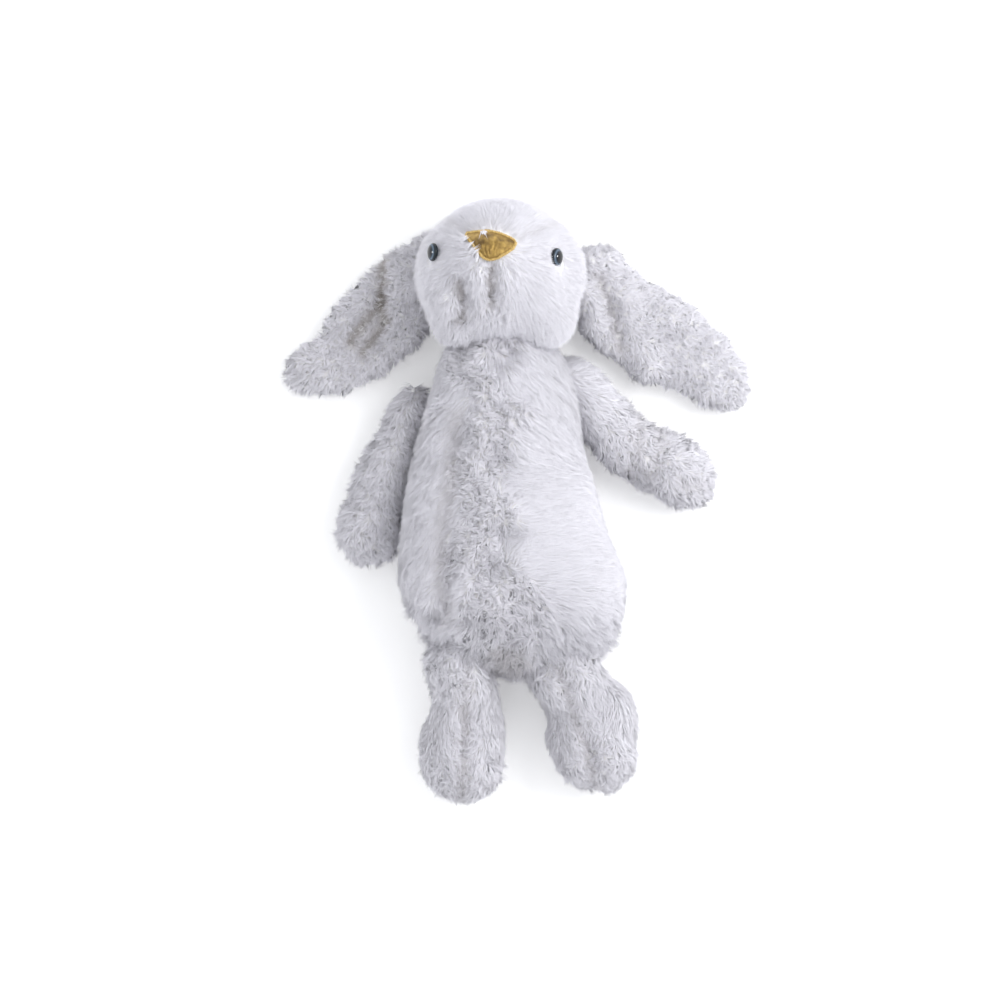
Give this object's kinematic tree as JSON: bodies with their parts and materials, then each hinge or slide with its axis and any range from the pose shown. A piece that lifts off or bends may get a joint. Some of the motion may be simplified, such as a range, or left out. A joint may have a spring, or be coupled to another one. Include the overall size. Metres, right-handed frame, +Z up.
{
  "type": "stuffed bunny rabbit",
  "caption": "Long-pile plush bunny lying on its back, with floppy ears, soft limbs, plastic eyes and a shiny stitched nose.",
  "frame": {"origin": "on the surface the toy lies on, under the middle of its outline", "axes": "+Z up, out of its belly and face; +Y towards the top of its head; +X towards its own left side"},
  "size_m": [0.2414, 0.3099, 0.089],
  "materials": {
    "plush_white": "matte",
    "polyester_filling": "matte",
    "pouch_cotton": "matte",
    "nose_gold": "satin",
    "eye_plastic": "gloss",
    "washer_plastic": "matte",
    "sewing_thread": "matte"
  },
  "bodies": {
    "torso": {"bean_pouch": "pouch_cotton", "closing_stitch": "sewing_thread", "torso_back_left": "plush_white", "torso_back_right": "plush_white", "torso_filling": "polyester_filling", "torso_front_left": "plush_white", "torso_front_right": "plush_white"},
    "head": {"head_filling": "polyester_filling", "head_gusset": "plush_white", "head_left_cheek": "plush_white", "head_right_cheek": "plush_white", "left_eye": "eye_plastic", "left_eye_washer": "washer_plastic", "nose_patch": "nose_gold", "nose_stitching": "sewing_thread", "right_eye": "eye_plastic", "right_eye_washer": "washer_plastic"},
    "left_arm": {"left_arm_back": "plush_white", "left_arm_filling": "polyester_filling", "left_arm_front": "plush_white"},
    "left_ear": {"left_ear_back": "plush_white", "left_ear_front": "plush_white"},
    "left_leg": {"left_leg_filling": "polyester_filling", "left_leg_inner": "plush_white", "left_leg_outer": "plush_white", "left_leg_sole": "plush_white"},
    "neck": {"neck_filling": "polyester_filling"},
    "right_arm": {"right_arm_back": "plush_white", "right_arm_filling": "polyester_filling", "right_arm_front": "plush_white"},
    "right_ear": {"right_ear_back": "plush_white", "right_ear_front": "plush_white"},
    "right_leg": {"right_leg_filling": "polyester_filling", "right_leg_inner": "plush_white", "right_leg_outer": "plush_white", "right_leg_sole": "plush_white"},
    "tail": {"tail_filling": "polyester_filling", "tail_top": "plush_white", "tail_underside": "plush_white"}
  },
  "joints": [
    {"name": "head_turn", "type": "hinge", "parent": "torso", "child": "neck", "pos_m": [-0.0063, 0.0793, 0.035], "axis": [0, -1, 0], "range_deg": [-25, 25]},
    {"name": "head_nod", "type": "hinge", "parent": "neck", "child": "head", "pos_m": [-0.0063, 0.0793, 0.035], "axis": [1, 0, 0], "range_deg": [0, 25]},
    {"name": "left_ear_flap", "type": "hinge", "parent": "head", "child": "left_ear", "pos_m": [0.04, 0.101, 0.0048], "axis": [0, -1, 0], "range_deg": [0, 60]},
    {"name": "right_ear_flap", "type": "hinge", "parent": "head", "child": "right_ear", "pos_m": [-0.053, 0.107, 0.0048], "axis": [0, 1, 0], "range_deg": [0, 60]},
    {"name": "left_arm_lift", "type": "hinge", "parent": "torso", "child": "left_arm", "pos_m": [0.047, 0.0415, 0.015], "axis": [-1, 0, 0], "range_deg": [0, 80]},
    {"name": "right_arm_lift", "type": "hinge", "parent": "torso", "child": "right_arm", "pos_m": [-0.0605, 0.0415, 0.015], "axis": [-1, 0, 0], "range_deg": [0, 80]},
    {"name": "left_hip_fold", "type": "hinge", "parent": "torso", "child": "left_leg", "pos_m": [0.0325, -0.0925, 0.016], "axis": [-1, 0, 0], "range_deg": [0, 80]},
    {"name": "right_hip_fold", "type": "hinge", "parent": "torso", "child": "right_leg", "pos_m": [-0.026, -0.0925, 0.016], "axis": [-1, 0, 0], "range_deg": [0, 72]},
    {"name": "tail_flick", "type": "hinge", "parent": "torso", "child": "tail", "pos_m": [0, -0.075, 0.0095], "axis": [-1, 0, 0], "range_deg": [0, 25]}
  ]
}
